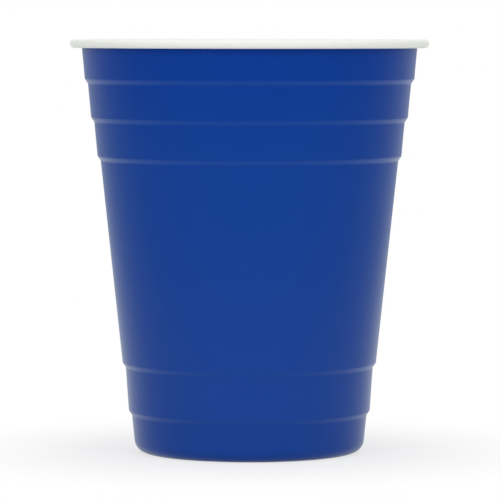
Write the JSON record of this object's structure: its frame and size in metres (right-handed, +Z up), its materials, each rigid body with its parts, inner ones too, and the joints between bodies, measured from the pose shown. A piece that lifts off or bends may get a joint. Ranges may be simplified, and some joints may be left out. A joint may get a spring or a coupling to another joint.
{
  "type": "plastic party cup",
  "caption": "Tapered stackable party cup in two-coloured plastic, with stepped bands, a rolled rim and a recessed base.",
  "frame": {"origin": "centre of the standing ring, in the plane that the cup stands on", "axes": "+Z up along the cup's axis, from the base to the rim; the cup is round, so X and Y are free"},
  "size_m": [0.095, 0.095, 0.1094],
  "materials": {
    "two_colour_sheet": "satin, blue outside and white inside"
  },
  "bodies": {
    "root": {"cup": "two_colour_sheet"}
  },
  "joints": []
}
